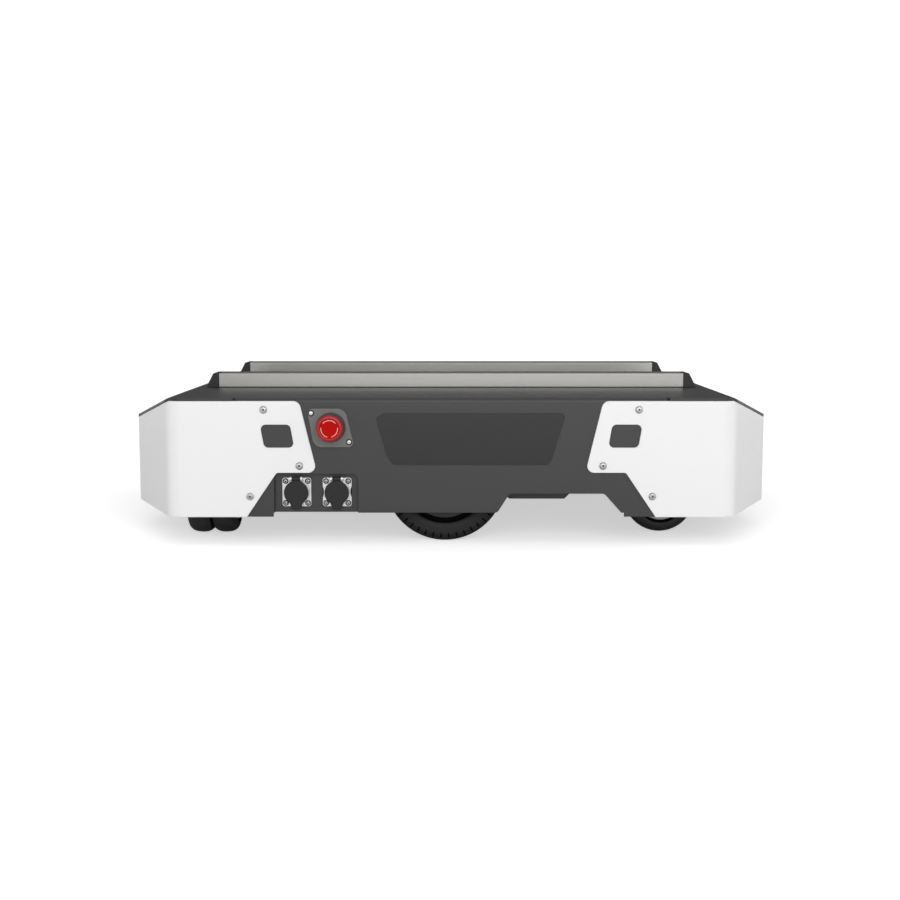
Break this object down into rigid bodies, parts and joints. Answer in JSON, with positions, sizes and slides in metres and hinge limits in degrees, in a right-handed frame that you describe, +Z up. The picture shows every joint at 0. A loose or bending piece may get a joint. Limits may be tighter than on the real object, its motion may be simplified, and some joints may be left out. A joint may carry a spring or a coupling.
{
  "type": "autonomous mobile robot",
  "caption": "Low wheeled mobile robot base with a flat deck, T-slot payload rails, sprung drive wheels, swivelling casters and emergency stops.",
  "frame": {"origin": "on the floor under the middle of the body", "axes": "+X to the front, +Y to the left side, +Z up"},
  "size_m": [0.6897, 0.605, 0.165],
  "materials": {
    "body_grey": "satin powder coat, fine texture",
    "panel_grey": "satin powder coat, fine texture",
    "cover_white": "satin white powder coat",
    "screw_steel": "bright zinc",
    "chassis_steel": "black powder coat",
    "rail_aluminium": "anodised, brushed along its length",
    "cap_black": "moulded",
    "plate_grey": "satin grey",
    "estop_black": "moulded",
    "estop_red": "semi-gloss moulded red",
    "badge_dark": "satin",
    "socket_metal": "plated die casting",
    "lid_black": "moulded",
    "lens_white": "opal",
    "switch_metal": "turned",
    "switch_black": "moulded",
    "battery_case": "moulded case",
    "controller_metal": "anodised dark",
    "zinc_steel": "zinc plated",
    "caster_rubber": "matt",
    "tyre_rubber": "matt",
    "rim_dark": "dark anodised",
    "arm_aluminium": "machined",
    "motor_steel": "dark plated",
    "spring_rubber": "matt"
  },
  "bodies": {
    "chassis": {"top_cover": "body_grey", "end_panel_front": "panel_grey", "end_panel_rear": "panel_grey", "connector_plate": "panel_grey", "corner_cover_front_right": "cover_white", "corner_cover_front_left": "cover_white", "corner_cover_rear_right": "cover_white", "corner_cover_rear_left": "cover_white", "cover_screws": "screw_steel", "base_pan": "chassis_steel", "caster_carrier_front": "chassis_steel", "caster_carrier_rear": "chassis_steel", "suspension_bracket_right": "chassis_steel", "suspension_bracket_left": "chassis_steel", "rail_right": "rail_aluminium", "rail_left": "rail_aluminium", "rail_end_caps": "cap_black", "estop_plate_right": "plate_grey", "estop_plate_left": "plate_grey", "estop_base_right": "estop_black", "estop_base_left": "estop_black", "badge_plate": "badge_dark", "charge_socket": "socket_metal", "comm_socket": "socket_metal", "front_light_lens": "lens_white", "power_bezel": "switch_metal", "battery_pack": "battery_case", "control_units": "controller_metal", "caster_top_plates": "zinc_steel", "rubber_spring_right": "spring_rubber", "rubber_spring_left": "spring_rubber"},
    "swing_right": {"swing_arm_right": "arm_aluminium", "gearmotor_right": "motor_steel"},
    "drive_wheel_right": {"drive_tyre_right": "tyre_rubber", "drive_rim_right": "rim_dark"},
    "estop_plunger_right": {"estop_stem_right": "estop_black"},
    "estop_knob_right": {"estop_head_right": "estop_red"},
    "swing_left": {"swing_arm_left": "arm_aluminium", "gearmotor_left": "motor_steel"},
    "drive_wheel_left": {"drive_tyre_left": "tyre_rubber", "drive_rim_left": "rim_dark"},
    "estop_plunger_left": {"estop_stem_left": "estop_black"},
    "estop_knob_left": {"estop_head_left": "estop_red"},
    "swivel_front_right": {"caster_fork_front_right": "zinc_steel"},
    "wheel_front_right_a": {"caster_wheel_front_right_a": "caster_rubber"},
    "wheel_front_right_b": {"caster_wheel_front_right_b": "caster_rubber"},
    "swivel_front_left": {"caster_fork_front_left": "zinc_steel"},
    "wheel_front_left_a": {"caster_wheel_front_left_a": "caster_rubber"},
    "wheel_front_left_b": {"caster_wheel_front_left_b": "caster_rubber"},
    "swivel_rear_right": {"caster_fork_rear_right": "zinc_steel"},
    "wheel_rear_right_a": {"caster_wheel_rear_right_a": "caster_rubber"},
    "wheel_rear_right_b": {"caster_wheel_rear_right_b": "caster_rubber"},
    "swivel_rear_left": {"caster_fork_rear_left": "zinc_steel"},
    "wheel_rear_left_a": {"caster_wheel_rear_left_a": "caster_rubber"},
    "wheel_rear_left_b": {"caster_wheel_rear_left_b": "caster_rubber"},
    "charge_flap": {"charge_lid": "lid_black"},
    "comm_flap": {"comm_lid": "lid_black"},
    "power_key": {"power_button": "switch_black"}
  },
  "joints": [
    {"name": "swing_arm_right_pivot", "type": "hinge", "parent": "chassis", "child": "swing_right", "pos_m": [0.092, -0.2, 0.058], "axis": [0, 1, 0], "range_deg": [-4, 5], "stiffness_Nm_per_rad": 150, "springref_deg": -3.38, "deforming": ["rubber_spring_right"]},
    {"name": "drive_wheel_right_spin", "type": "hinge", "parent": "swing_right", "child": "drive_wheel_right", "pos_m": [-0.0065, -0.2395, 0.062], "axis": [0, 1, 0], "continuous": true},
    {"name": "swing_arm_left_pivot", "type": "hinge", "parent": "chassis", "child": "swing_left", "pos_m": [0.092, 0.2, 0.058], "axis": [0, 1, 0], "range_deg": [-4, 5], "stiffness_Nm_per_rad": 150, "springref_deg": -3.38, "deforming": ["rubber_spring_left"]},
    {"name": "drive_wheel_left_spin", "type": "hinge", "parent": "swing_left", "child": "drive_wheel_left", "pos_m": [-0.0065, 0.2395, 0.062], "axis": [0, 1, 0], "continuous": true},
    {"name": "caster_front_right_swivel", "type": "hinge", "parent": "chassis", "child": "swivel_front_right", "pos_m": [0.239, -0.19, 0.09], "axis": [0, 0, 1], "continuous": true},
    {"name": "caster_wheel_front_right_a_spin", "type": "hinge", "parent": "swivel_front_right", "child": "wheel_front_right_a", "pos_m": [0.2225, -0.19, 0.0375], "axis": [0, 1, 0], "continuous": true},
    {"name": "caster_wheel_front_right_b_spin", "type": "hinge", "parent": "swivel_front_right", "child": "wheel_front_right_b", "pos_m": [0.2225, -0.19, 0.0375], "axis": [0, 1, 0], "continuous": true},
    {"name": "caster_front_left_swivel", "type": "hinge", "parent": "chassis", "child": "swivel_front_left", "pos_m": [0.239, 0.19, 0.09], "axis": [0, 0, 1], "continuous": true},
    {"name": "caster_wheel_front_left_a_spin", "type": "hinge", "parent": "swivel_front_left", "child": "wheel_front_left_a", "pos_m": [0.2225, 0.19, 0.0375], "axis": [0, 1, 0], "continuous": true},
    {"name": "caster_wheel_front_left_b_spin", "type": "hinge", "parent": "swivel_front_left", "child": "wheel_front_left_b", "pos_m": [0.2225, 0.19, 0.0375], "axis": [0, 1, 0], "continuous": true},
    {"name": "caster_rear_right_swivel", "type": "hinge", "parent": "chassis", "child": "swivel_rear_right", "pos_m": [-0.252, -0.19, 0.09], "axis": [0, 0, 1], "continuous": true},
    {"name": "caster_wheel_rear_right_a_spin", "type": "hinge", "parent": "swivel_rear_right", "child": "wheel_rear_right_a", "pos_m": [-0.252, -0.2065, 0.0375], "axis": [1, 0, 0], "continuous": true},
    {"name": "caster_wheel_rear_right_b_spin", "type": "hinge", "parent": "swivel_rear_right", "child": "wheel_rear_right_b", "pos_m": [-0.252, -0.2065, 0.0375], "axis": [1, 0, 0], "continuous": true},
    {"name": "caster_rear_left_swivel", "type": "hinge", "parent": "chassis", "child": "swivel_rear_left", "pos_m": [-0.252, 0.19, 0.09], "axis": [0, 0, 1], "continuous": true},
    {"name": "caster_wheel_rear_left_a_spin", "type": "hinge", "parent": "swivel_rear_left", "child": "wheel_rear_left_a", "pos_m": [-0.252, 0.2065, 0.0375], "axis": [1, 0, 0], "continuous": true},
    {"name": "caster_wheel_rear_left_b_spin", "type": "hinge", "parent": "swivel_rear_left", "child": "wheel_rear_left_b", "pos_m": [-0.252, 0.2065, 0.0375], "axis": [1, 0, 0], "continuous": true},
    {"name": "estop_right_push", "type": "slide", "parent": "chassis", "child": "estop_plunger_right", "axis": [0, 1, 0], "range_m": [0, 0.004]},
    {"name": "estop_right_twist", "type": "hinge", "parent": "estop_plunger_right", "child": "estop_knob_right", "pos_m": [-0.1209, -0.2982, 0.1198], "axis": [0, 1, 0], "range_deg": [0, 40], "stiffness_Nm_per_rad": 0.05},
    {"name": "estop_left_push", "type": "slide", "parent": "chassis", "child": "estop_plunger_left", "axis": [0, -1, 0], "range_m": [0, 0.004]},
    {"name": "estop_left_twist", "type": "hinge", "parent": "estop_plunger_left", "child": "estop_knob_left", "pos_m": [-0.1209, 0.2982, 0.1198], "axis": [0, -1, 0], "range_deg": [0, 40], "stiffness_Nm_per_rad": 0.05},
    {"name": "charge_lid_hinge", "type": "hinge", "parent": "chassis", "child": "charge_flap", "pos_m": [-0.1564, -0.2848, 0.0675], "axis": [-1, 0, 0], "range_deg": [0, 110], "stiffness_Nm_per_rad": 0.02, "springref_deg": -17.19},
    {"name": "comm_lid_hinge", "type": "hinge", "parent": "chassis", "child": "comm_flap", "pos_m": [-0.1155, -0.2848, 0.0675], "axis": [-1, 0, 0], "range_deg": [0, 110], "stiffness_Nm_per_rad": 0.02, "springref_deg": -17.19},
    {"name": "power_button_push", "type": "slide", "parent": "chassis", "child": "power_key", "axis": [1, 0, 0], "range_m": [0, 0.002], "stiffness_N_per_m": 600}
  ]
}
